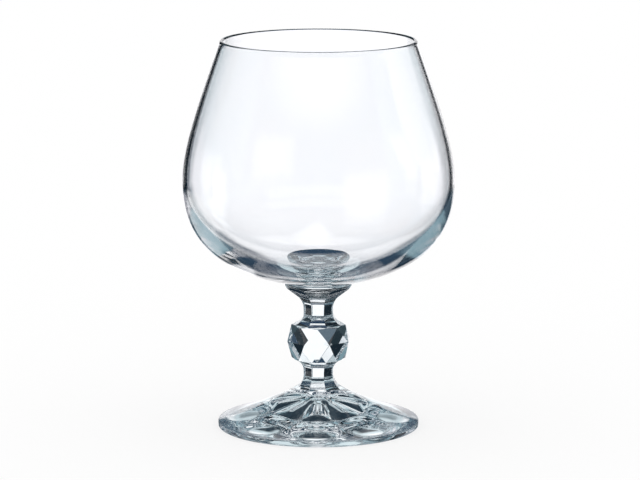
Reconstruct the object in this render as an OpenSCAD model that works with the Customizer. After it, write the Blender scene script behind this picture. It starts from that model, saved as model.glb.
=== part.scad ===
// Brandy snifter with an eight-panelled stem, a faceted knop and a star-moulded foot.
// Frame: +Z up, origin on the table at the middle of the foot. Lengths in millimetres.

/* [Bowl] */
// Height of the bowl, from its seat on the collar to the rim
bowl_h = 73.6; // [60:0.1:95]
// Widest outer diameter of the bowl
belly_d = 82.2; // [72:0.1:100]
// Height of the widest point above the seat
belly_h = 31.1; // [26:0.1:38]
// Outer diameter at the rim
rim_d = 59.4; // [48:0.1:70]
// How far the wall leans inward at the rim, in degrees from upright
rim_lean = 19; // [12:0.5:26]
// Glass thickness at the rim
rim_wall = 1.1; // [0.9:0.05:1.8]
// Glass thickness at the widest point
belly_wall = 1.35; // [1.1:0.05:3]
// Glass thickness in the middle of the bowl's floor
floor_wall = 3.1; // [2.4:0.1:6]

/* [Collar] */
// Height of the collar, from the upper neck to the bowl's seat
collar_h = 8; // [7:0.1:11]
// Diameter of the collar's round edge
collar_d = 20.4; // [17:0.1:25]
// Radius of the rounding on the collar's top edge
collar_round = 0.6; // [0.3:0.05:1]
// Lean of the collar's panels, in degrees from upright
collar_lean = 50.5; // [45:0.5:58]
// Radius of the hollow curve between the neck and the collar's panels
collar_curve = 5; // [3.5:0.1:6]

/* [Necks] */
// Width of the necks across opposite panels
neck_w = 8.9; // [7:0.1:10.5]
// Length of the neck under the collar
upper_neck_l = 1.6; // [1:0.1:6]
// Length of the neck above the foot
lower_neck_l = 1.4; // [1:0.1:6]

/* [Knop] */
// Height of the knop between the necks
knop_h = 17.6; // [15.5:0.1:22]
// Width across opposite diamonds at the equator
knop_w = 18.6; // [17.4:0.1:23]
// Width across the upper points of opposite diamonds
knop_top_w = 16.5; // [15:0.1:17.2]
// Width across the lower points of opposite diamonds
knop_bottom_w = 16.3; // [15:0.1:17.2]
// Height of the equator above the knop's lower end
knop_equator_h = 9.3; // [8.4:0.1:10]
// Rise from the equator to the upper points
knop_rise = 4.6; // [3.5:0.1:5.2]
// Drop from the equator to the lower points
knop_drop = 5.7; // [4.5:0.1:6.4]

/* [Foot] */
// Diameter of the foot
foot_d = 61.2; // [54:0.1:75]
// Height of the foot, from the table to the lower neck
foot_h = 15.8; // [14:0.1:20]
// Thickness of the foot's edge
foot_edge = 1.8; // [1.4:0.05:2.6]
// Radius of the roundings on the foot's edge
foot_round = 0.45; // [0.2:0.05:0.65]
// Slope of the brim just inside the edge, in degrees
brim_slope = 11; // [5:0.5:16]
// Slope of the foot's upper side, in degrees
foot_slope = 24.3; // [20:0.1:28]
// Radius of the hollow curve between the neck and the foot's panels
flare_curve = 5.2; // [4:0.1:6]
// Lean of the foot's panels where they run out, in degrees from upright
flare_lean = 57; // [50:0.5:60]

/* [Underside] */
// Width of the flat ring that the glass stands on
ring_w = 3.6; // [2.5:0.1:5]
// Height that the hollow would reach in the middle without the star
hollow_h = 1.2; // [0.8:0.1:2]
// Diameter of the outer scoops
scoop_d = 13; // [9:0.1:13.2]
// Depth of the outer scoops
scoop_depth = 1.5; // [0.8:0.05:1.8]
// Distance of the scoops' middles from the axis
scoop_place = 19.9; // [19.6:0.1:20]
// Height of the star's cone over the hollow
star_h = 4.2; // [3:0.1:5]
// Distance from the axis at which the star's cone ends
star_reach = 13.2; // [10.8:0.1:13.3]
// Distance from the axis at which the star's flutes end
flute_reach = 12.5; // [10:0.1:12.8]
// Rise of a flute's bed over the star's cone, in degrees
flute_rise = 5.5; // [4:0.5:7]
// Half the spread of a flute, in degrees
flute_spread = 16; // [13:0.5:19]
// Slope of the wall that ends the flutes, in degrees
flute_end = 50; // [40:1:70]
// Distance of the flutes' points from the axis
flute_start = 1.2; // [0.8:0.05:1.6]
// Diameter of the dimple in the middle of the star
dimple_d = 8; // [6:0.1:9]
// Depth of the dimple over the star's point
dimple_depth = 0.2; // [0.1:0.05:0.4]

/* [Hidden] */
$fn = 96;

// Panels round the stem, with the first one facing the front
panels = 8;
panel_step = 360 / panels;
panel_widen = 1 / cos(panel_step / 2);

// Pieces of each curve, and how far cutters run past what they cut
curve_steps = 20;
overrun = 2;

// How far the round foot lies below the end of the panels' hollow curve
panel_sink = 0.2;

// Where each piece starts above the table
lower_neck_z = foot_h;
knop_z = lower_neck_z + lower_neck_l;
upper_neck_z = knop_z + knop_h;
collar_z = upper_neck_z + upper_neck_l;
bowl_z = collar_z + collar_h;

neck_r = neck_w / 2;
collar_r = collar_d / 2;
seat_r = collar_r - collar_round;
belly_r = belly_d / 2;
rim_r = rim_d / 2;
foot_r = foot_d / 2;

// Shares that shape the bowl's outer and inner curves
wall_shares = [0.235, 0.45];
dish_shares = [0.74, 0.443, 0.106];
well_shares = [0.62, 0.6];
// Shares that shape the foot's upper side
brim_share = 0.22;
slope_share = 0.42;

// Point at share t of a cubic curve with four control points
function curve_point(c, t) =
    c[0] * pow(1 - t, 3)
    + c[1] * 3 * pow(1 - t, 2) * t
    + c[2] * 3 * (1 - t) * pow(t, 2)
    + c[3] * pow(t, 3);

// Points along a cubic curve, with both ends
function curve(c) = [for (i = [0:curve_steps]) curve_point(c, i / curve_steps)];

// Points along an arc, with both ends
function arc(centre, r, from, to) = [
    for (i = [0:curve_steps])
        let (a = from + (to - from) * i / curve_steps)
        centre + r * [cos(a), sin(a)]
];

// Points along a quarter of an ellipse that starts upright and ends level
function shoulder(start, end) = [
    for (i = [0:curve_steps])
        let (a = 90 * i / curve_steps)
        [start.x + (end.x - start.x) * (1 - cos(a)), start.y + (end.y - start.y) * sin(a)]
];

function reversed(list) = [for (i = [len(list) - 1:-1:0]) list[i]];

// Mirror image of a list of points about the axis, in the opposite order
function mirrored(list) = [for (p = reversed(list)) [-p.x, p.y]];

// Body with flat panels round the axis, cut from the half outline of one pair of panels
module panelled(outline, reach) {
    intersection_for (i = [0:panels / 2 - 1])
        rotate([90, 0, i * panel_step])
            linear_extrude(height = 2 * reach, center = true)
                polygon(concat(outline, mirrored(outline)));
}

// Straight panelled rod
module panelled_rod(h, w) {
    rotate(panel_step / 2)
        cylinder(h = h, r = w / 2 * panel_widen, $fn = panels);
}

// Outer wall of the bowl from the seat to the rim
function bowl_outside() =
    let (
        up = bowl_h - belly_h,
        lip = [rim_r, bowl_h - rim_wall / 2],
        lean = [tan(rim_lean), -1] * wall_shares[1] * up,
        seat = [seat_r, 0],
        span = belly_r - seat_r,
        dish = [belly_r, belly_h],
        low = curve([
            seat,
            seat + [dish_shares[1] * span, dish_shares[2] * belly_h],
            dish - [0, dish_shares[0] * belly_h],
            dish
        ]),
        high = curve([dish, dish + [0, wall_shares[0] * up], lip + lean, lip])
    )
    concat(low, [for (i = [1:curve_steps]) high[i]]);

// Inner wall of the bowl from the rim to the middle of the floor
function bowl_inside() =
    let (
        up = bowl_h - belly_h,
        lip = [rim_r - rim_wall, bowl_h - rim_wall / 2],
        lean = [tan(rim_lean), -1] * wall_shares[1] * up,
        wide = [belly_r - belly_wall, belly_h],
        deep = belly_h - floor_wall,
        high = curve([lip, lip + lean, wide + [0, wall_shares[0] * up], wide]),
        low = curve([
            wide,
            wide - [0, well_shares[0] * deep],
            [well_shares[1] * wide.x, floor_wall],
            [0, floor_wall]
        ])
    )
    concat(high, [for (i = [1:curve_steps]) low[i]]);

// Round lip over the rim, without the ends that the walls already have
function bowl_lip() =
    let (turn = arc([rim_r - rim_wall / 2, bowl_h - rim_wall / 2], rim_wall / 2, 0, 180))
    [for (i = [1:curve_steps - 1]) turn[i]];

module bowl() {
    color("lavender", 0.5)
        translate([0, 0, bowl_z])
            rotate_extrude()
                polygon(concat([[0, 0]], bowl_outside(), bowl_lip(), bowl_inside()));
}

// Half outline of the collar's panels, from the neck up and out past the round edge
function collar_outline() =
    let (
        hollow = arc([neck_r + collar_curve, 0], collar_curve, 180, 180 - collar_lean),
        end = hollow[curve_steps],
        out = collar_r + overrun,
        out_z = end.y + (out - end.x) / tan(collar_lean)
    )
    concat(
        [[neck_r, -overrun]],
        hollow,
        [[out, out_z], [out, max(out_z, collar_h) + overrun]]
    );

// Round blank of the collar, with its top edge rounded
module collar_blank() {
    top_edge = arc([collar_r - collar_round, collar_h - collar_round], collar_round, 0, 90);
    rotate_extrude()
        polygon(concat([[0, 0], [collar_r, 0]], top_edge, [[0, collar_h]]));
}

module collar() {
    color("lightsteelblue", 0.6)
        translate([0, 0, collar_z])
            intersection() {
                collar_blank();
                panelled(collar_outline(), collar_r + 2 * overrun);
            }
}

module upper_neck() {
    color("lightsteelblue", 0.6)
        translate([0, 0, upper_neck_z])
            panelled_rod(upper_neck_l, neck_w);
}

// Half outline of the knop's panels: hollow shoulders with a ridged belt between them
function knop_outline() =
    let (
        top = [knop_top_w / 2, knop_equator_h + knop_rise],
        bottom = [knop_bottom_w / 2, knop_equator_h - knop_drop]
    )
    concat(
        [[neck_r, -overrun]],
        shoulder([neck_r, 0], bottom),
        [[knop_w / 2, knop_equator_h]],
        reversed(shoulder([neck_r, knop_h], top)),
        [[neck_r, knop_h + overrun]]
    );

// Cutter that leaves a triangular facet between two diamonds, from the equator to their points
module facet_cutter(point_w, height) {
    corner = knop_w / 2 * panel_widen;
    edge = point_w / 2 / panel_widen;
    tilt = atan((corner - edge) / abs(height));
    size = knop_w + knop_h;
    translate([corner, 0, knop_equator_h])
        rotate([0, height > 0 ? -tilt : tilt, 0])
            translate([0, -size / 2, -size / 2])
                cube(size);
}

module knop() {
    color("lightsteelblue", 0.6)
        translate([0, 0, knop_z])
            difference() {
                intersection() {
                    panelled(knop_outline(), knop_w);
                    cylinder(h = knop_h, r = knop_w);
                }
                for (i = [0:panels - 1])
                    rotate((i + 1 / 2) * panel_step) {
                        facet_cutter(knop_top_w, knop_rise);
                        facet_cutter(knop_bottom_w, -knop_drop);
                    }
            }
}

module lower_neck() {
    color("lightsteelblue", 0.6)
        translate([0, 0, lower_neck_z])
            panelled_rod(lower_neck_l, neck_w);
}

// Half outline of the foot's panels, from the neck down to where they sink into the round foot
function flare_outline() =
    let (
        hollow = arc([neck_r + flare_curve, foot_h], flare_curve, 180, 180 + flare_lean),
        end = hollow[curve_steps],
        low_z = foot_edge,
        low_r = end.x + (end.y - low_z) * tan(flare_lean)
    )
    concat([[low_r, low_z]], reversed(hollow), [[neck_r, foot_h + overrun]]);

// Radius and height at which the panels' hollow curve ends
flare_end = flare_outline()[1];

// Upper side of the round foot, from the edge in to the stem
function foot_top() =
    let (
        edge = [foot_r - foot_round, foot_edge],
        inner = flare_end - [0, panel_sink],
        span = edge.x - inner.x
    )
    curve([
        edge,
        edge + brim_share * span * [-1, tan(brim_slope)],
        inner + slope_share * span * [1, -tan(foot_slope)],
        inner
    ]);

// Radius at which the hollow under the foot meets the standing ring, its slope, and its height at a radius
hollow_run = foot_r - foot_round - ring_w;
hollow_slope = atan(hollow_h / hollow_run);
function hollow_at(r) = hollow_h * (1 - r / hollow_run);

// Slope of the star's cone, and its height at a radius
star_slope = atan(hollow_h / hollow_run + star_h / star_reach);
function star_at(r) = hollow_at(r) + star_h * (1 - r / star_reach);

// Round blank of the foot: standing ring, rounded edge, upper side, and the hollow and the star's cone beneath
module foot_blank() {
    low_edge = arc([foot_r - foot_round, foot_round], foot_round, -90, 0);
    high_edge = arc([foot_r - foot_round, foot_edge - foot_round], foot_round, 0, 90);
    upper = foot_top();
    rotate_extrude()
        polygon(concat(
            [[0, star_at(0)], [star_reach, hollow_at(star_reach)], [hollow_run, 0]],
            low_edge,
            high_edge,
            [for (i = [1:curve_steps]) upper[i]],
            [[0, flare_end.y]]
        ));
}

// Round scoop near the edge, as a ball that dips into the hollow's cone
module scoop() {
    ball_r = (pow(scoop_d / 2, 2) + pow(scoop_depth, 2)) / (2 * scoop_depth);
    translate([scoop_place, 0, hollow_at(scoop_place)])
        rotate([0, hollow_slope, 0])
            translate([0, 0, scoop_depth - ball_r])
                sphere(r = ball_r);
}

// Flute that widens outward: a cone whose upper side is the flute's bed, run past the wall that ends it
module flute() {
    dip = atan((cos(flute_rise) - cos(flute_spread)) / sin(flute_rise));
    half_angle = dip + flute_rise;
    blunt = flute_start / 2;
    translate([flute_start, 0, star_at(flute_start)])
        rotate([0, 90 + star_slope + dip, 0])
            translate([0, 0, blunt])
                cylinder(
                    h = flute_reach - blunt,
                    r1 = blunt * tan(half_angle),
                    r2 = flute_reach * tan(half_angle)
                );
}

// Room that the flutes keep to, with a wall that leans in from their ends
module star_room() {
    low = -overrun;
    high = star_at(0) + overrun;
    end_z = star_at(flute_reach);
    translate([0, 0, low])
        cylinder(
            h = high - low,
            r1 = flute_reach + (end_z - low) / tan(flute_end),
            r2 = flute_reach - (high - end_z) / tan(flute_end)
        );
}

// Round dimple in the middle of the star
module dimple() {
    sag = dimple_depth + dimple_d / 2 * tan(star_slope);
    ball_r = (pow(dimple_d / 2, 2) + pow(sag, 2)) / (2 * sag);
    translate([0, 0, star_at(0) + dimple_depth - ball_r])
        sphere(r = ball_r);
}

module foot() {
    color("lightsteelblue", 0.6)
        difference() {
            union() {
                foot_blank();
                intersection() {
                    panelled(flare_outline(), foot_d);
                    translate([0, 0, flare_end.y / 2])
                        cylinder(h = foot_h - flare_end.y / 2, r = foot_r / 2);
                }
            }
            for (i = [0:panels - 1])
                rotate(i * panel_step)
                    scoop();
            intersection() {
                star_room();
                for (i = [0:panels - 1])
                    rotate(i * panel_step)
                        flute();
            }
            dimple();
        }
}

bowl();
collar();
upper_neck();
knop();
lower_neck();
foot();
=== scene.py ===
"""Clear glass pieces, stage and camera for a brandy snifter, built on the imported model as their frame."""

import math

import bmesh
import bpy
from bpy.props import FloatProperty, FloatVectorProperty, PointerProperty
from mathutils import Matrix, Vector


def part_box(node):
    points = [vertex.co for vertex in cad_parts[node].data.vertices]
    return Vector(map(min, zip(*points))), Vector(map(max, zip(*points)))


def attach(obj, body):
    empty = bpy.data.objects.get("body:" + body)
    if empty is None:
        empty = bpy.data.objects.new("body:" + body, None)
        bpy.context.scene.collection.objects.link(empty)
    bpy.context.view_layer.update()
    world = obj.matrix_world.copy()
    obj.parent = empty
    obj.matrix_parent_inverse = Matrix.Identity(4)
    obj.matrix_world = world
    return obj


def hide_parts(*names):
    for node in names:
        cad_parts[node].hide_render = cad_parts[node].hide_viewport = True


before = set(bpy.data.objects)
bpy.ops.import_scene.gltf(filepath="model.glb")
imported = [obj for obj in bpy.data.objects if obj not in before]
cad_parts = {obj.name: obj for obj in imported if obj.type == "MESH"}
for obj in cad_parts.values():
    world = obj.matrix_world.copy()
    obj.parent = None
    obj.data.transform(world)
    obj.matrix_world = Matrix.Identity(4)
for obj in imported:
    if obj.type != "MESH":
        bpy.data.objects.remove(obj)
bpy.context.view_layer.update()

bl_info = {
    "name": "Brandy snifter",
    "version": (1, 0, 0),
    "blender": (4, 5, 0),
    "location": "3D View > Sidebar > Snifter",
    "description": "Builds a clear brandy snifter from six fused pieces of glass, in a pale studio",
    "category": "Object",
}

MM = 0.001
UP = Vector((0, 0, 1))

# The stem has eight panels, with the first one facing the front.
PANELS = 8
PANEL_STEP = 2 * math.pi / PANELS
HALF_PANEL = PANEL_STEP / 2

# How finely the skins are divided: round the bowl, from a panel's middle to its edge, along each curve and
# rounding, across the foot's standing ring and underside, and up the collar's edge.
BOWL_SEGMENTS = 288
PANEL_SEGMENTS = 24
PANEL_CROWDING = 1.4
CURVE_STEPS = 40
ROUNDING_STEPS = 8
RING_STEPS = 4
UNDERSIDE_ROWS = 110
COLLAR_EDGE_STEPS = 2

# How often a search between two values halves the gap between them.
HALVINGS = 48

# Material slots of each piece: the glass itself, and the fused faces that light passes
# as if they weren't there.
GLASS_SLOT = 0
WELD_SLOT = 1

BOXES = {node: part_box(node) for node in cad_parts}


def node_floor(node):
    """Height of a node's lowest point."""
    return BOXES[node][0].z


def node_top(node):
    """Height of a node's highest point."""
    return BOXES[node][1].z


def node_width(node):
    """Width of a node from side to side."""
    return BOXES[node][1].x - BOXES[node][0].x


def length(name, description, default):
    """Property for a length in metres."""
    return FloatProperty(
        name=name, description=description, default=default, min=0, unit="LENGTH", precision=5,
    )


def angle(name, description, degrees):
    """Property for an angle, given in degrees."""
    return FloatProperty(name=name, description=description, default=math.radians(degrees), subtype="ANGLE")


def share(name, description, default):
    """Property for a share between nothing and all."""
    return FloatProperty(name=name, description=description, default=default, min=0, max=1, subtype="FACTOR")


def tint(name, description, default):
    """Property for a colour."""
    return FloatVectorProperty(
        name=name, description=description, default=default, min=0, max=1, subtype="COLOR",
    )


class SnifterBowl(bpy.types.PropertyGroup):
    """Sizes of the blown bowl."""

    belly_d: length("Belly diameter", "Widest outer diameter of the bowl", node_width("bowl"))
    belly_h: length("Belly height", "Height of the widest point above the seat", 31.1 * MM)
    rim_d: length("Rim diameter", "Outer diameter at the rim", 59.4 * MM)
    rim_lean: angle("Rim lean", "How far the wall leans inward at the rim", 19)
    rim_wall: length("Rim wall", "Glass thickness at the rim", 1.1 * MM)
    belly_wall: length("Belly wall", "Glass thickness at the widest point", 1.35 * MM)
    floor_wall: length("Floor wall", "Glass thickness in the middle of the floor", 3.1 * MM)


class SnifterStem(bpy.types.PropertyGroup):
    """Sizes of the collar and the necks."""

    collar_d: length("Collar diameter", "Diameter of the collar's round edge", node_width("collar"))
    collar_round: length("Collar rounding", "Radius of the rounding on the collar's top edge", 0.6 * MM)
    collar_lean: angle("Collar lean", "Lean of the collar's panels from upright", 50.5)
    collar_curve: length("Collar curve", "Radius of the hollow curve above the neck", 5 * MM)
    neck_w: length("Neck width", "Width of the necks across opposite panels", node_width("upper_neck"))
    arris: length("Arris radius", "Radius of the polished edges between panels", 0.25 * MM)


class SnifterKnop(bpy.types.PropertyGroup):
    """Sizes of the faceted knop."""

    width: length("Width", "Width across opposite diamonds at the equator", node_width("knop"))
    top_w: length("Upper points", "Width across the upper points of opposite diamonds", 16.5 * MM)
    bottom_w: length("Lower points", "Width across the lower points of opposite diamonds", 16.3 * MM)
    equator_h: length("Equator height", "Height of the equator above the knop's lower end", 9.3 * MM)
    rise: length("Rise", "Rise from the equator to the upper points", 4.6 * MM)
    drop: length("Drop", "Drop from the equator to the lower points", 5.7 * MM)
    edge: length("Edge width", "Half width of the polished edges between facets", 0.12 * MM)


class SnifterFoot(bpy.types.PropertyGroup):
    """Sizes of the foot and its moulded underside."""

    diameter: length("Diameter", "Diameter of the foot", node_width("foot"))
    edge: length("Edge", "Thickness of the foot's edge", 1.8 * MM)
    rounding: length("Edge rounding", "Radius of the roundings on the edge", 0.45 * MM)
    brim_slope: angle("Brim slope", "Slope of the brim just inside the edge", 11)
    slope: angle("Slope", "Slope of the foot's upper side", 24.3)
    flare_curve: length("Flare curve", "Radius of the hollow curve below the neck", 5.2 * MM)
    flare_lean: angle("Flare lean", "Lean of the foot's panels where they run out, from upright", 57)
    ring_w: length("Ring width", "Width of the flat ring that the glass stands on", 3.6 * MM)
    hollow_h: length("Hollow height", "Height that the hollow would reach without the star", 1.2 * MM)
    scoop_d: length("Scoop diameter", "Diameter of the outer scoops", 13 * MM)
    scoop_depth: length("Scoop depth", "Depth of the outer scoops", 1.5 * MM)
    scoop_place: length("Scoop place", "Distance of the scoops' middles from the axis", 19.9 * MM)
    star_h: length("Star height", "Height of the star's cone over the hollow", 4.2 * MM)
    star_reach: length("Star reach", "Distance from the axis at which the star's cone ends", 13.2 * MM)
    flute_reach: length("Flute reach", "Distance from the axis at which the star's flutes end", 12.5 * MM)
    flute_rise: angle("Flute rise", "Rise of a flute's bed over the star's cone", 5.5)
    flute_spread: angle("Flute spread", "Half the spread of a flute", 16)
    flute_end: angle("Flute end", "Slope of the wall that ends the flutes", 50)
    flute_start: length("Flute start", "Distance of the flutes' points from the axis", 1.2 * MM)
    dimple_d: length("Dimple diameter", "Diameter of the dimple in the middle of the star", 8 * MM)
    dimple_depth: length("Dimple depth", "Depth of the dimple over the star's point", 0.2 * MM)
    softness: length("Mould softness", "Reach of the soft edges between moulded forms", 0.8 * MM)


class SnifterGlass(bpy.types.PropertyGroup):
    """Colours and surface of the two kinds of glass."""

    blown_clear: tint("Blown glass", "Colour of the clear blown glass", (0.986, 0.992, 0.998))
    blown_deep: tint(
        "Blown glass, deeper", "Colour where the blown glass is a little denser", (0.976, 0.989, 0.998),
    )
    pressed_clear: tint("Pressed glass", "Colour of the clear pressed glass", (0.945, 0.985, 0.992))
    pressed_deep: tint(
        "Pressed glass, deeper", "Colour where the pressed glass is denser", (0.905, 0.970, 0.984),
    )
    blown_wave: length("Blown wave", "Depth of the long waves in the blown wall", 0.006 * MM)
    pressed_wave: length("Pressed wave", "Depth of the ripples that the mould leaves", 0.001 * MM)


class SnifterStage(bpy.types.PropertyGroup):
    """Light, floor and camera."""

    floor_glow: share("Floor glow", "Share of the floor's white that stays in the shadow", 0.72)
    shade: tint("Shade", "Colour of the shade under the foot, seen through the glass", (0.02, 0.035, 0.05))
    shade_pale: tint("Pale shade", "Colour of the light that falls through the foot", (0.76, 0.85, 0.89))
    shade_r: length("Shade radius", "Radius of the shade under the foot", 25 * MM)
    room: tint("Room", "Colour of the studio round the glass", (0.08, 0.125, 0.165))
    black: tint("Black flags", "Colour of the black flags beside the screens", (0.004, 0.009, 0.014))
    slate: tint("Slate flags", "Colour of the slate flags below and beside the screens", (0.02, 0.045, 0.085))
    teal: tint("Teal cards", "Colour of the cards beside the glass", (0.28, 0.42, 0.48))
    ceiling: tint("Ceiling", "Colour of the studio overhead", (0.01, 0.015, 0.02))
    softbox: tint("Softbox", "Colour of the softboxes at the sides and behind the camera", (0.76, 0.76, 0.82))
    distance: length("Camera distance", "Distance of the camera from the glass's axis", 1029 * MM)
    height: length("Camera height", "Height of the camera over the table", 243.2 * MM)
    shift: length("Camera sidestep", "How far the camera stands to its right of the axis", 0.45 * MM)
    turn: angle("Camera turn", "How far the camera stands round from the front panel", 2.7)
    pitch: angle("Camera pitch", "How far the camera looks down", 10.25)
    lens: FloatProperty(name="Lens", description="Focal length of the camera", default=194.4, unit="CAMERA")


def curve_point(controls, t):
    """Point at share t of a cubic curve with four control points."""
    s = 1 - t
    a, b, c, d = controls
    return a * s ** 3 + b * (3 * s * s * t) + c * (3 * s * t * t) + d * t ** 3


def curve(controls, steps=CURVE_STEPS):
    """Points along a cubic curve, with both ends."""
    return [curve_point(controls, i / steps) for i in range(steps + 1)]


def arc(centre, radius, start, end, steps=ROUNDING_STEPS):
    """Points along an arc, with both ends; angles in radians."""
    turns = [start + (end - start) * i / steps for i in range(steps + 1)]
    return [centre + radius * Vector((math.cos(turn), math.sin(turn))) for turn in turns]


def bend(start, corner, end, steps=ROUNDING_STEPS):
    """Points along a soft bend that takes the place of a corner, without its start."""
    points = []
    for i in range(1, steps + 1):
        t = i / steps
        points.append(start * (1 - t) ** 2 + corner * (2 * t * (1 - t)) + end * t * t)
    return points


def line(start, end, steps):
    """Points along a straight line, without its start."""
    return [start.lerp(end, i / steps) for i in range(1, steps + 1)]


def last_true(test, low, high):
    """Largest value between low and high up to which the test holds."""
    for _ in range(HALVINGS):
        middle = (low + high) / 2
        if test(middle):
            low = middle
        else:
            high = middle
    return low


def panel_radius(apothem, fold, arris):
    """Distance from the axis to a panelled skin with rounded arrises, at an angle from a panel's middle."""
    core = apothem - arris
    if apothem * math.tan(fold) <= core * math.tan(HALF_PANEL):
        return apothem / math.cos(fold)
    corner = core / math.cos(HALF_PANEL)
    off = HALF_PANEL - fold
    return corner * math.cos(off) + math.sqrt(arris ** 2 - (corner * math.sin(off)) ** 2)


def panel_folds():
    """Angles from a panel's middle to its edge, crowded towards the edge."""
    shares = [1 - (1 - i / PANEL_SEGMENTS) ** PANEL_CROWDING for i in range(PANEL_SEGMENTS + 1)]
    return [HALF_PANEL * value for value in shares]


def ring_rows(turns, profiles):
    """Rows of points round the axis, from one profile of radii and heights for each angle."""
    rows = []
    for row in zip(*profiles):
        rows.append([(p.x * math.cos(turn), p.x * math.sin(turn), p.y) for p, turn in zip(row, turns)])
    return rows


def round_rows(profile):
    """Rows of a body that is round about the axis."""
    turns = [2 * math.pi * i / BOWL_SEGMENTS for i in range(BOWL_SEGMENTS)]
    return ring_rows(turns, [profile] * BOWL_SEGMENTS)


def panelled_rows(profile_at):
    """Rows of a body that repeats at each panel, from a function that gives its profile at an angle."""
    folds = panel_folds()
    by_fold = [profile_at(fold) for fold in folds]
    turns, profiles = [], []
    for panel in range(PANELS):
        for i in range(-PANEL_SEGMENTS, PANEL_SEGMENTS):
            turns.append(panel * PANEL_STEP + math.copysign(folds[abs(i)], i))
            profiles.append(by_fold[abs(i)])
    return ring_rows(turns, profiles)


def wrapped_mesh(name, rows, start_hub, end_hub, start_weld=False, end_weld=False):
    """Closed skin over rows of points, with a fan to a point on the axis at each end."""
    bm = bmesh.new()
    rings = [[bm.verts.new(point) for point in row] for row in rows]
    for low, high in zip(rings, rings[1:]):
        for i in range(len(low)):
            bm.faces.new((low[i - 1], low[i], high[i], high[i - 1]))
    for ring, height, weld in ((rings[0], start_hub, start_weld), (rings[-1], end_hub, end_weld)):
        hub = bm.verts.new((0, 0, height))
        for i in range(len(ring)):
            face = bm.faces.new((ring[i - 1], ring[i], hub))
            face.material_index = WELD_SLOT if weld else GLASS_SLOT
    return finished_mesh(name, bm)


def finished_mesh(name, bm):
    """Mesh with outward faces, smooth but for the rims of the fused faces."""
    bmesh.ops.recalc_face_normals(bm, faces=bm.faces)
    for face in bm.faces:
        face.smooth = True
    for edge in bm.edges:
        edge.smooth = len({face.material_index for face in edge.link_faces}) < 2
    mesh = bpy.data.meshes.new(name)
    bm.to_mesh(mesh)
    bm.free()
    return mesh


def add_piece(name, mesh, node, material):
    """Puts a piece in the scene in place of its node."""
    piece = bpy.data.objects.new(name, mesh)
    bpy.context.scene.collection.objects.link(piece)
    mesh.materials.append(material)
    mesh.materials.append(weld_material())
    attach(piece, "root")
    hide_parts(node)
    return piece


# Shares that shape the bowl's outer and inner curves, as in the solid
WALL_SHARES = (0.235, 0.45)
DISH_SHARES = (0.74, 0.443, 0.106)
WELL_SHARES = (0.62, 0.6)


def bowl_profile(sizes, seat_r, low, high):
    """Profile of the bowl from its seat up the outside, over the lip and down the inside."""
    belly_r = sizes.belly_d / 2
    rim_r = sizes.rim_d / 2
    up = high - low - sizes.belly_h
    lip_z = high - sizes.rim_wall / 2
    lean = Vector((math.tan(sizes.rim_lean), -1)) * (WALL_SHARES[1] * up)
    swell = Vector((0, WALL_SHARES[0] * up))

    seat = Vector((seat_r, low))
    belly = Vector((belly_r, low + sizes.belly_h))
    lip = Vector((rim_r, lip_z))
    dish = [
        seat,
        seat + Vector((DISH_SHARES[1] * (belly_r - seat_r), DISH_SHARES[2] * sizes.belly_h)),
        belly - Vector((0, DISH_SHARES[0] * sizes.belly_h)),
        belly,
    ]
    outer_wall = [belly, belly + swell, lip + lean, lip]

    inner_lip = Vector((rim_r - sizes.rim_wall, lip_z))
    inner_belly = Vector((belly_r - sizes.belly_wall, low + sizes.belly_h))
    floor_z = low + sizes.floor_wall
    inner_wall = [inner_lip, inner_lip + lean, inner_belly + swell, inner_belly]
    well = [
        inner_belly,
        inner_belly - Vector((0, WELL_SHARES[0] * (inner_belly.y - floor_z))),
        Vector((WELL_SHARES[1] * inner_belly.x, floor_z)),
        Vector((0, floor_z)),
    ]
    lip_middle = Vector((rim_r - sizes.rim_wall / 2, lip_z))
    over_lip = arc(lip_middle, sizes.rim_wall / 2, 0, math.pi, 2 * ROUNDING_STEPS)
    return (
        curve(dish)
        + curve(outer_wall)[1:]
        + over_lip[1:-1]
        + curve(inner_wall)
        + curve(well)[1:-1]
    )


def hollow_outline(neck_r, radius, lean):
    """Half width and run of a panel at a distance from the neck: a hollow curve, then straight."""
    curved = radius * lean

    def at(distance):
        turn = min(distance, curved) / radius
        straight = max(distance - curved, 0)
        return Vector((
            neck_r + radius * (1 - math.cos(turn)) + straight * math.sin(lean),
            radius * math.sin(turn) + straight * math.cos(lean),
        ))

    return at


def collar_profiles(sizes, low, high):
    """Function that gives the collar's profile at an angle from a panel's middle, from the neck up."""
    outline = hollow_outline(sizes.neck_w / 2, sizes.collar_curve, sizes.collar_lean)
    collar_r = sizes.collar_d / 2
    soft = sizes.collar_round / 2

    def at(fold):
        def skin(distance):
            point = outline(distance)
            return Vector((panel_radius(point.x, fold, sizes.arris), low + point.y))

        meet = last_true(lambda distance: skin(distance).x < collar_r, 0, 2 * collar_r)
        hollow = [skin((meet - soft) * i / CURVE_STEPS) for i in range(CURVE_STEPS + 1)]
        corner = Vector((collar_r, skin(meet).y))
        top_edge = arc(
            Vector((collar_r - sizes.collar_round, high - sizes.collar_round)),
            sizes.collar_round, 0, math.pi / 2,
        )
        above = corner.lerp(top_edge[0], 1 / 2)
        edge = line(above, top_edge[0], COLLAR_EDGE_STEPS)
        return hollow + bend(hollow[-1], corner, above) + edge + top_edge[1:]

    return at


def neck_profiles(sizes, low, high):
    """Function that gives a neck's profile at an angle from a panel's middle."""

    def at(fold):
        radius = panel_radius(sizes.neck_w / 2, fold, sizes.arris)
        return [Vector((radius, low)), Vector((radius, high))]

    return at


def shoulder(start, end):
    """Points along a quarter of an ellipse that starts upright and ends level."""
    span = end - start
    turns = [math.pi / 2 * i / CURVE_STEPS for i in range(CURVE_STEPS + 1)]
    return [start + Vector((span.x * (1 - math.cos(turn)), span.y * math.sin(turn))) for turn in turns]


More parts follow.
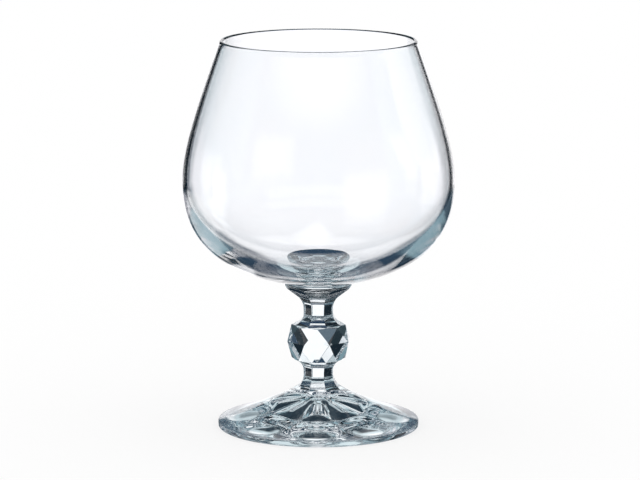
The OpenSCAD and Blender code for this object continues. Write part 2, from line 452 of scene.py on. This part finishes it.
# Points of the knop closer than this are one, and edges flatter than this aren't bevelled.
KNOP_WELD = 0.0002 * MM
KNOP_FLAT = math.radians(7)


def cut_flat(bm, point, normal):
    """Cuts a closed body along a plane and closes it again with one flat facet."""
    geometry = bm.verts[:] + bm.edges[:] + bm.faces[:]
    cut = bmesh.ops.bisect_plane(
        bm, geom=geometry, dist=KNOP_WELD, plane_co=point, plane_no=normal, clear_outer=True,
    )
    rim = [edge for edge in cut["geom_cut"] if isinstance(edge, bmesh.types.BMEdge)]
    bmesh.ops.contextual_create(bm, geom=rim)


def knop_mesh(sizes, neck_r, low, high):
    """Faceted ball: hollow shoulders, and a belt of diamonds between triangles above and below."""
    equator = low + sizes.equator_h
    top = Vector((sizes.top_w / 2, equator + sizes.rise))
    bottom = Vector((sizes.bottom_w / 2, equator - sizes.drop))
    outline = (
        shoulder(Vector((neck_r, low)), bottom)
        + [Vector((sizes.width / 2, equator))]
        + shoulder(Vector((neck_r, high)), top)[::-1]
    )
    bm = bmesh.new()
    widen = 1 / math.cos(HALF_PANEL)
    corners = [(i + 0.5) * PANEL_STEP for i in range(PANELS)]
    rings = []
    for p in outline:
        ring = [(p.x * widen * math.cos(turn), p.x * widen * math.sin(turn), p.y) for turn in corners]
        rings.append([bm.verts.new(point) for point in ring])
    for below, above in zip(rings, rings[1:]):
        for i in range(PANELS):
            bm.faces.new((below[i - 1], below[i], above[i], above[i - 1]))
    for ring in (rings[0], rings[-1]):
        bm.faces.new(ring).material_index = WELD_SLOT

    corner_r = sizes.width / 2 * widen
    for turn in corners:
        outward = Vector((math.cos(turn), math.sin(turn), 0))
        for point, side in ((top, 1), (bottom, -1)):
            tilt = math.atan2(corner_r - point.x / widen, abs(point.y - equator))
            normal = outward * math.cos(tilt) + UP * (side * math.sin(tilt))
            cut_flat(bm, outward * corner_r + UP * equator, normal)
    bmesh.ops.remove_doubles(bm, verts=bm.verts, dist=KNOP_WELD)

    sharp = []
    for edge in bm.edges:
        fused = any(face.material_index == WELD_SLOT for face in edge.link_faces)
        if not fused and edge.calc_face_angle(0) > KNOP_FLAT:
            sharp.append(edge)
    bmesh.ops.bevel(
        bm, geom=sharp, offset=sizes.edge, offset_type="OFFSET", segments=3, profile=0.5,
        affect="EDGES", clamp_overlap=True,
    )
    return finished_mesh("knop", bm)


# Shares that shape the foot's upper side, and how far it lies below the end of the panels' curve,
# as in the solid
BRIM_SHARE = 0.22
SLOPE_SHARE = 0.42
PANEL_SINK = 0.2 * MM
# Share of the mould's softness at the edge of the star, which is crisper than the other forms
STAR_SOFT = 0.2
# Reach of the soft bend where the panels run out on the upper side, in roundings of the edge
FLARE_SOFT = 1.5


def soft_max(a, b, reach):
    """The larger of two heights, with a soft change from one to the other."""
    near = max(reach - abs(a - b), 0) / reach
    return max(a, b) + near * near * reach / 4


def ball_radius(diameter, depth):
    """Radius of a ball that dips to a depth within a circle."""
    return ((diameter / 2) ** 2 + depth ** 2) / (2 * depth)


def underside_height(sizes):
    """Function that gives the underside's height at a radius and an angle from a panel's middle."""
    run = sizes.diameter / 2 - sizes.rounding - sizes.ring_w
    hollow_fall = sizes.hollow_h / run
    star_fall = hollow_fall + sizes.star_h / sizes.star_reach
    hollow_slope, star_slope = math.atan(hollow_fall), math.atan(star_fall)
    point_z = sizes.hollow_h + sizes.star_h
    dimple_r = ball_radius(sizes.dimple_d, sizes.dimple_depth + sizes.dimple_d / 2 * star_fall)
    dimple_z = point_z + sizes.dimple_depth - dimple_r
    scoop_r = ball_radius(sizes.scoop_d, sizes.scoop_depth)
    scoop_sink = sizes.scoop_depth - scoop_r
    dip = math.atan2(
        math.cos(sizes.flute_rise) - math.cos(sizes.flute_spread),
        math.sin(sizes.flute_rise),
    )
    along, down = math.cos(star_slope + dip), math.sin(star_slope + dip)
    spread = math.cos(dip + sizes.flute_rise) ** 2

    def hollow(radius):
        return sizes.hollow_h - hollow_fall * radius

    def star(radius):
        return point_z - star_fall * radius

    def ball(centre_r, centre_z, radius, x, y):
        under = radius ** 2 - (x - centre_r) ** 2 - y ** 2
        return centre_z + math.sqrt(under) if under > 0 else -point_z

    def flute(radius, x, y):
        x -= sizes.flute_start
        a = down ** 2 - spread
        b = -2 * along * down * x
        c = (along ** 2 - spread) * x * x - spread * y * y
        inside = b * b - 4 * a * c
        if inside < 0 or x < 0:
            return -point_z
        bed = star(sizes.flute_start) + (-b - math.sqrt(inside)) / (2 * a)
        wall = star(sizes.flute_reach) + (sizes.flute_reach - radius) * math.tan(sizes.flute_end)
        return -soft_max(-bed, -wall, sizes.softness)

    def at(radius, fold):
        height = soft_max(0, hollow(radius), hollow_fall * sizes.softness)
        height = soft_max(height, star(radius), STAR_SOFT * sizes.softness)
        height = soft_max(height, ball(0, dimple_z, dimple_r, radius, 0), sizes.softness)
        for turn in (fold, PANEL_STEP - fold):
            x, y = radius * math.cos(turn), radius * math.sin(turn)
            scoop = ball(
                sizes.scoop_place + scoop_sink * math.sin(hollow_slope),
                hollow(sizes.scoop_place) + scoop_sink * math.cos(hollow_slope),
                scoop_r, x, y,
            )
            height = soft_max(height, scoop, sizes.softness)
            height = soft_max(height, flute(radius, x, y), sizes.softness)
        return height

    return at


def foot_profiles(sizes, stem, high):
    """Function that gives the foot's profile at an angle from a panel's middle: flare, edge and underside."""
    outline = hollow_outline(stem.neck_w / 2, sizes.flare_curve, sizes.flare_lean)
    flare_end = outline(sizes.flare_curve * sizes.flare_lean)
    foot_r = sizes.diameter / 2
    edge = Vector((foot_r - sizes.rounding, sizes.edge))
    inner = Vector((flare_end.x, high - flare_end.y - PANEL_SINK))
    span = edge.x - inner.x
    upper = [
        edge,
        edge + BRIM_SHARE * span * Vector((-1, math.tan(sizes.brim_slope))),
        inner + SLOPE_SHARE * span * Vector((1, -math.tan(sizes.slope))),
        inner,
    ]
    ring_in = edge.x - sizes.ring_w
    height = underside_height(sizes)
    soft = FLARE_SOFT * sizes.rounding
    farthest = 2 * foot_r / 3

    def share_at(radius):
        return last_true(lambda t: curve_point(upper, t).x > radius, 0, 1)

    def at(fold):
        def skin(distance):
            point = outline(distance)
            return Vector((panel_radius(point.x, fold, stem.arris), high - point.y))

        def above(distance):
            point = skin(distance)
            return point.y > curve_point(upper, share_at(point.x)).y

        meet = last_true(above, 0, farthest)
        flare = [skin((meet - soft) * i / CURVE_STEPS) for i in range(CURVE_STEPS + 1)]
        corner = skin(meet)
        start = share_at(corner.x + soft)
        top = [curve_point(upper, start * (1 - i / CURVE_STEPS)) for i in range(CURVE_STEPS + 1)]
        high_edge = arc(Vector((edge.x, edge.y - sizes.rounding)), sizes.rounding, math.pi / 2, 0)
        low_edge = arc(Vector((edge.x, sizes.rounding)), sizes.rounding, 0, -math.pi / 2)
        ring = line(low_edge[-1], Vector((ring_in + sizes.softness, 0)), RING_STEPS)
        under = []
        for i in range(1, UNDERSIDE_ROWS):
            radius = ring[-1].x * (1 - i / UNDERSIDE_ROWS)
            under.append(Vector((radius, height(radius, fold))))
        return (
            flare + bend(flare[-1], corner, top[0]) + top[1:-1]
            + high_edge + low_edge + ring + under
        )

    return at


class Wire:
    """A shader value that can be used in Python expressions, each of which adds its Math nodes."""

    def __init__(self, shader, socket):
        self.shader = shader
        self.socket = socket

    def math(self, operation, *values):
        """Value of a Math node that works on these values."""
        return self.shader.node("ShaderNodeMath", {"operation": operation}, dict(enumerate(values)))

    def __add__(self, other):
        return self.math("ADD", self, other)

    def __radd__(self, other):
        return self.math("ADD", other, self)

    def __sub__(self, other):
        return self.math("SUBTRACT", self, other)

    def __rsub__(self, other):
        return self.math("SUBTRACT", other, self)

    def __mul__(self, other):
        return self.math("MULTIPLY", self, other)

    def __rmul__(self, other):
        return self.math("MULTIPLY", other, self)

    def __truediv__(self, other):
        return self.math("DIVIDE", self, other)

    def __rtruediv__(self, other):
        return self.math("DIVIDE", other, self)

    def root(self):
        """Square root of the value."""
        return self.math("SQRT", self)

    def clamped(self):
        """The value held between 0 and 1."""
        return self.shader.node("ShaderNodeClamp", values={"Value": self})

    def ramp(self, low, high):
        """0 below low, 1 above high, and a smooth change between; low may be the larger."""
        values = {"Value": self, "From Min": low, "From Max": high}
        return self.shader.node("ShaderNodeMapRange", {"interpolation_type": "SMOOTHSTEP"}, values)


class Shader:
    """Node tree of a material or world, emptied and filled by its one method."""

    def __init__(self, owner):
        owner.use_nodes = True
        self.tree = owner.node_tree
        self.tree.nodes.clear()

    def node(self, kind, settings=None, values=None, output=0):
        """Adds a node with its settings, then the values or links of its sockets, and gives one output."""
        node = self.tree.nodes.new(kind)
        for name, value in (settings or {}).items():
            setattr(node, name, value)
        for key, value in (values or {}).items():
            if isinstance(value, Wire):
                self.tree.links.new(value.socket, node.inputs[key])
            else:
                node.inputs[key].default_value = value
        return Wire(self, node.outputs[output]) if node.outputs else None

    def blend(self, share, first, second):
        """Colour between two others."""
        settings = {"data_type": "RGBA"}
        return self.node("ShaderNodeMix", settings, {0: share, 6: first, 7: second}, output=2)


def colour(value):
    """Colour property as red, green, blue and alpha."""
    return (*value, 1)


def weld_material():
    """Fused faces: the glass goes on through them, so nothing shows."""
    name = "fused_seam"
    if name in bpy.data.materials:
        return bpy.data.materials[name]
    material = bpy.data.materials.new(name)
    shader = Shader(material)
    surface = shader.node("ShaderNodeBsdfPrincipled", values={"Alpha": 0})
    shader.node("ShaderNodeOutputMaterial", values={"Surface": surface})
    return material


GLASS_IOR = 1.52
# How many cords and grains lie along a metre of each kind of glass
BLOWN_SCALES = (42, 400)
PRESSED_SCALES = (160, 900)
# Range over which the cords deepen the colour, and their share of the surface's relief
CORD_RANGE = (0.3, 0.7)
CORD_SHARE = 0.85
# Range over which the grain dulls the polish, and the roughness that it comes to
GRAIN_RANGE = (0.45, 0.8)
GRAIN_ROUGHNESS = 0.004


def glass_material(name, clear, deep, wave, scales):
    """Clear glass with a faint change of colour, polish and surface over its body."""
    if name in bpy.data.materials:
        return bpy.data.materials[name]
    material = bpy.data.materials.new(name)
    shader = Shader(material)
    place = shader.node("ShaderNodeTexCoord", output="Object")
    cord = shader.node("ShaderNodeTexNoise", values={"Vector": place, "Scale": scales[0], "Detail": 1.5})
    grain = shader.node("ShaderNodeTexNoise", values={"Vector": place, "Scale": scales[1], "Detail": 3})
    height = cord * CORD_SHARE + grain * (1 - CORD_SHARE)
    normal = shader.node("ShaderNodeBump", values={"Strength": 1, "Distance": wave, "Height": height})
    surface = shader.node("ShaderNodeBsdfPrincipled", values={
        "Base Color": shader.blend(cord.ramp(*CORD_RANGE), colour(clear), colour(deep)),
        "Roughness": grain.ramp(*GRAIN_RANGE) * GRAIN_ROUGHNESS,
        "IOR": GLASS_IOR,
        "Transmission Weight": 1,
        "Normal": normal,
    })
    shader.node("ShaderNodeOutputMaterial", values={"Surface": surface})
    return material


def blown_glass(looks):
    """Glass of the bowl, with long soft waves from the blowing."""
    return glass_material(
        "clear_blown_glass", looks.blown_clear, looks.blown_deep, looks.blown_wave, BLOWN_SCALES,
    )


def pressed_glass(looks):
    """Glass of the stem and foot, with the fine ripple of the mould."""
    return glass_material(
        "clear_pressed_glass", looks.pressed_clear, looks.pressed_deep, looks.pressed_wave, PRESSED_SCALES,
    )


class SNIFTER_OT_bowl(bpy.types.Operator):
    """Builds the blown bowl"""

    bl_idname = "snifter.bowl"
    bl_label = "Bowl"

    def execute(self, context):
        scene = context.scene
        stem = scene.snifter_stem
        seat_r = stem.collar_d / 2 - stem.collar_round
        low, high = node_floor("bowl"), node_top("bowl")
        rows = round_rows(bowl_profile(scene.snifter_bowl, seat_r, low, high))
        mesh = wrapped_mesh("bowl_glass", rows, low, low + scene.snifter_bowl.floor_wall, start_weld=True)
        add_piece("bowl_glass", mesh, "bowl", blown_glass(scene.snifter_glass))
        return {"FINISHED"}


class SNIFTER_OT_collar(bpy.types.Operator):
    """Builds the collar under the bowl"""

    bl_idname = "snifter.collar"
    bl_label = "Collar"

    def execute(self, context):
        scene = context.scene
        low, high = node_floor("collar"), node_top("collar")
        rows = panelled_rows(collar_profiles(scene.snifter_stem, low, high))
        mesh = wrapped_mesh("collar_glass", rows, low, high, start_weld=True, end_weld=True)
        add_piece("collar_glass", mesh, "collar", pressed_glass(scene.snifter_glass))
        return {"FINISHED"}


class SNIFTER_OT_necks(bpy.types.Operator):
    """Builds the two panelled necks"""

    bl_idname = "snifter.necks"
    bl_label = "Necks"

    def execute(self, context):
        scene = context.scene
        for node in ("upper_neck", "lower_neck"):
            name = node + "_glass"
            low, high = node_floor(node), node_top(node)
            rows = panelled_rows(neck_profiles(scene.snifter_stem, low, high))
            mesh = wrapped_mesh(name, rows, low, high, start_weld=True, end_weld=True)
            add_piece(name, mesh, node, pressed_glass(scene.snifter_glass))
        return {"FINISHED"}


class SNIFTER_OT_knop(bpy.types.Operator):
    """Builds the faceted knop"""

    bl_idname = "snifter.knop"
    bl_label = "Knop"

    def execute(self, context):
        scene = context.scene
        neck_r = scene.snifter_stem.neck_w / 2
        mesh = knop_mesh(scene.snifter_knop, neck_r, node_floor("knop"), node_top("knop"))
        piece = add_piece("knop_glass", mesh, "knop", pressed_glass(scene.snifter_glass))
        flat = piece.modifiers.new("flat_facets", "WEIGHTED_NORMAL")
        flat.keep_sharp = True
        return {"FINISHED"}


class SNIFTER_OT_foot(bpy.types.Operator):
    """Builds the foot with its moulded star"""

    bl_idname = "snifter.foot"
    bl_label = "Foot"

    def execute(self, context):
        scene = context.scene
        sizes = scene.snifter_foot
        high = node_top("foot")
        rows = panelled_rows(foot_profiles(sizes, scene.snifter_stem, high))
        middle = sizes.hollow_h + sizes.star_h + sizes.dimple_depth
        mesh = wrapped_mesh("foot_glass", rows, high, middle, start_weld=True)
        add_piece("foot_glass", mesh, "foot", pressed_glass(scene.snifter_glass))
        return {"FINISHED"}


FLOOR_SIZE = 6
SENSOR = 36
# The thick wall low on the bowl leads light round through many reflections
LIGHT_BOUNCES = 40

# Shade under the foot, as the glass shows it. Each pair gives where a change starts and where it ends: at the
# edge of the dark middle, in the lobes that part the spots, inside, outside and behind the ring of spots, and
# round the spot in front of the axis.
SHADE_SOFT = 1 * MM
MIDDLE_EDGE = (15.5 * MM, 13 * MM)
SPOT_LOBES = (-0.4, 0.6)
SPOT_START = (12 * MM, 14 * MM)
SPOT_END = (24 * MM, 22 * MM)
SPOT_FADE = (14 * MM, -14 * MM)
FRONT_SPOT = 19 * MM
FRONT_EDGE = (8 * MM, 6 * MM)

# White papers on the floor, which show through the bowl from the sides: middle and half width of the turn in
# degrees, and where they start and end from the axis. Their edges are soft by an angle and by a share.
PAPERS = (
    (48, 12, 85 * MM, 360 * MM),
    (69, 10, 85 * MM, 320 * MM),
    (90, 10, 130 * MM, 380 * MM),
)
PAPER_SOFT = math.radians(3)
PAPER_FADE = 0.1


def both_sides(*cards):
    """Cards, each with its mirror image on the other side of the glass."""
    return tuple((side * turn, *rest) for turn, *rest in cards for side in (1, -1))


# Cards round the glass, painted in this order, in degrees: middle and half width of the turn, which is 0
# behind the glass and 180 behind the camera, lowest and highest elevation, and the softness of the edges
SLATE_FLAGS = (
    (0, 26, -61, -26, 2),
    (0, 8, 12, 25, 2),
    *both_sides((40, 7, -26, 3, 2)),
)
BLACK_FLAGS = both_sides(
    (25, 9, -26, 12, 1.5),
    (42, 18, -61, -24, 2),
    (35, 11, 25, 46, 3),
    (52, 6, 12, 25, 2),
)
TEAL_CARDS = both_sides(
    (74, 40, 3, 27, 4),
)
SOFTBOXES = (
    (225, 19, -30, 10, 4),
    *both_sides((63, 16, -21, 4, 3)),
)
SCREENS = (
    (47, 6, -21, -14, 2),
    (90, 7, -14, 4, 4),
    (225, 10, -25, -5, 4),
    (0, 16, -12, 12, 1.5),
    (0, 12, -27, -8, 2),
    (0, 8, -33, -22, 3),
    (-29, 5, 12, 25, 1.5),
    (0, 14, 27, 45, 3),
    (0, 9, 45, 80, 3),
    (180, 60, 28, 44, 4),
)
# The screens make up for the light that the glass turns away
SCREEN_WHITE = (1.15, 1.14, 1.16, 1)
WHITE = (1, 1, 1, 1)
# Upright part of the directions between which the room turns into the ceiling
CEILING_EDGE = (0.64, 0.76)


def turn_mask(x, y, turn, half, soft):
    """1 within half an angle of a turn about the axis, 0 outside it, and a soft change; in radians."""
    toward = (y * math.cos(turn) - x * math.sin(turn)) / (x * x + y * y).root()
    return toward.ramp(math.cos(half + soft), math.cos(half - soft))


def card_mask(x, y, z, card):
    """1 on a card and 0 off it, from the parts of a direction."""
    turn, half, low, high, soft = (math.radians(value) for value in card)
    above = z.ramp(math.sin(low - soft), math.sin(low + soft))
    below = z.ramp(math.sin(high + soft), math.sin(high - soft))
    return turn_mask(x, y, turn, half, soft) * above * below


def seen_in_glass(shader):
    """1 for what the glass shows, and 0 for the camera and for light on the floor."""
    glossy = shader.node("ShaderNodeLightPath", output="Is Glossy Ray")
    through = shader.node("ShaderNodeLightPath", output="Is Transmission Ray")
    return (glossy + through).clamped()


def studio_world(scene, looks):
    """White to the camera, even light for the floor, and a studio of cards for the glass to show."""
    world = bpy.data.worlds.new("studio")
    scene.world = world
    shader = Shader(world)
    direction = shader.node("ShaderNodeTexCoord", output="Generated")
    x, y, z = (shader.node("ShaderNodeSeparateXYZ", values={0: direction}, output=axis) for axis in "XYZ")

    studio = shader.blend(z.ramp(*CEILING_EDGE), colour(looks.room), colour(looks.ceiling))
    painted = (
        (SLATE_FLAGS, colour(looks.slate)),
        (BLACK_FLAGS, colour(looks.black)),
        (TEAL_CARDS, colour(looks.teal)),
        (SOFTBOXES, colour(looks.softbox)),
        (SCREENS, SCREEN_WHITE),
    )
    for cards, shade in painted:
        for card in cards:
            studio = shader.blend(card_mask(x, y, z, card), studio, shade)

    seen = shader.blend(seen_in_glass(shader), WHITE, studio)
    light = shader.node("ShaderNodeBackground", values={"Color": seen, "Strength": 1})
    shader.node("ShaderNodeOutputWorld", values={"Surface": light})


def foot_shade(shader, looks, x, y, radius):
    """Colour of the shade under the foot: dark in the middle and in spots, pale where light falls through."""
    lobes = x.math("COSINE", x.math("ARCTAN2", x, y) * PANELS).ramp(*SPOT_LOBES)
    spots = lobes * radius.ramp(*SPOT_START) * radius.ramp(*SPOT_END) * y.ramp(*SPOT_FADE)
    ahead = y + FRONT_SPOT
    front = (x * x + ahead * ahead).root().ramp(*FRONT_EDGE)
    dark = (spots + radius.ramp(*MIDDLE_EDGE) + front).clamped()
    return shader.blend(dark, colour(looks.shade_pale), colour(looks.shade))


def floor_material(looks):
    """White that keeps a soft shadow; in the glass it shows the studio, the foot's shade and the papers."""
    material = bpy.data.materials.new("pale_floor")
    shader = Shader(material)
    glow = looks.floor_glow
    lit = shader.node("ShaderNodeBsdfDiffuse", values={"Color": (1 - glow, 1 - glow, 1 - glow, 1)})
    even = shader.node("ShaderNodeEmission", values={"Color": WHITE, "Strength": glow})
    pale = shader.node("ShaderNodeAddShader", values={0: lit, 1: even})

    place = shader.node("ShaderNodeNewGeometry", output="Position")
    x, y = (shader.node("ShaderNodeSeparateXYZ", values={0: place}, output=axis) for axis in "XY")
    radius = (x * x + y * y).root()
    under = radius.ramp(looks.shade_r + SHADE_SOFT, looks.shade_r - SHADE_SOFT)
    shade = shader.node("ShaderNodeEmission", values={
        "Color": foot_shade(shader, looks, x, y, radius),
        "Strength": 1,
    })
    open_floor = shader.node("ShaderNodeBsdfTransparent")
    shown = shader.node("ShaderNodeMixShader", values={0: under, 1: open_floor, 2: shade})
    paper = shader.node("ShaderNodeEmission", values={"Color": WHITE, "Strength": 1})
    for turn, half, start, end in PAPERS:
        width = turn_mask(x, y, math.radians(turn), math.radians(half), PAPER_SOFT)
        outside = radius.ramp(start * (1 - PAPER_FADE), start * (1 + PAPER_FADE))
        inside = radius.ramp(end * (1 + PAPER_FADE), end * (1 - PAPER_FADE))
        shown = shader.node("ShaderNodeMixShader", values={0: width * outside * inside, 1: shown, 2: paper})
    surface = shader.node("ShaderNodeMixShader", values={0: seen_in_glass(shader), 1: pale, 2: shown})
    shader.node("ShaderNodeOutputMaterial", values={"Surface": surface})
    return material


def pale_floor(scene, looks):
    """Wide level floor that the glass stands on."""
    bm = bmesh.new()
    bmesh.ops.create_grid(bm, x_segments=1, y_segments=1, size=FLOOR_SIZE)
    mesh = bpy.data.meshes.new("floor")
    bm.to_mesh(mesh)
    bm.free()
    mesh.materials.append(floor_material(looks))
    floor = bpy.data.objects.new("floor", mesh)
    scene.collection.objects.link(floor)


def front_camera(scene, looks):
    """Camera at the viewing angle of the product picture."""
    data = bpy.data.cameras.new("front_camera")
    data.sensor_width = SENSOR
    data.lens = looks.lens
    camera = bpy.data.objects.new("front_camera", data)
    scene.collection.objects.link(camera)
    right = Vector((math.cos(looks.turn), math.sin(looks.turn), 0))
    back = Vector((math.sin(looks.turn), -math.cos(looks.turn), 0))
    camera.location = back * looks.distance + right * looks.shift + UP * looks.height
    camera.rotation_euler = (math.pi / 2 - looks.pitch, 0, looks.turn)
    scene.camera = camera


class SNIFTER_OT_stage(bpy.types.Operator):
    """Sets the floor, the light and the camera"""

    bl_idname = "snifter.stage"
    bl_label = "Stage"

    def execute(self, context):
        scene = context.scene
        looks = scene.snifter_stage
        studio_world(scene, looks)
        pale_floor(scene, looks)
        front_camera(scene, looks)
        scene.view_settings.view_transform = "Standard"
        for kind in ("max_bounces", "transmission_bounces", "glossy_bounces", "transparent_max_bounces"):
            setattr(scene.cycles, kind, LIGHT_BOUNCES)
        return {"FINISHED"}


OPERATORS = (
    SNIFTER_OT_stage,
    SNIFTER_OT_bowl,
    SNIFTER_OT_collar,
    SNIFTER_OT_necks,
    SNIFTER_OT_knop,
    SNIFTER_OT_foot,
)
GROUPS = {
    "snifter_bowl": SnifterBowl,
    "snifter_stem": SnifterStem,
    "snifter_knop": SnifterKnop,
    "snifter_foot": SnifterFoot,
    "snifter_glass": SnifterGlass,
    "snifter_stage": SnifterStage,
}


class SNIFTER_PT_sidebar(bpy.types.Panel):
    """Lists the pieces of the glass and its stage"""

    bl_label = "Brandy snifter"
    bl_idname = "SNIFTER_PT_sidebar"
    bl_space_type = "VIEW_3D"
    bl_region_type = "UI"
    bl_category = "Snifter"

    def draw(self, context):
        for operator in OPERATORS:
            self.layout.operator(operator.bl_idname)


def register():
    for cls in (*GROUPS.values(), *OPERATORS, SNIFTER_PT_sidebar):
        bpy.utils.register_class(cls)
    for name, group in GROUPS.items():
        setattr(bpy.types.Scene, name, PointerProperty(type=group))


def unregister():
    for name in GROUPS:
        delattr(bpy.types.Scene, name)
    for cls in (SNIFTER_PT_sidebar, *reversed(OPERATORS), *reversed(GROUPS.values())):
        bpy.utils.unregister_class(cls)


def main():
    """Builds every piece and the stage."""
    register()
    bpy.ops.snifter.stage()
    bpy.ops.snifter.bowl()
    bpy.ops.snifter.collar()
    bpy.ops.snifter.necks()
    bpy.ops.snifter.knop()
    bpy.ops.snifter.foot()


if __name__ == "__main__":
    main()
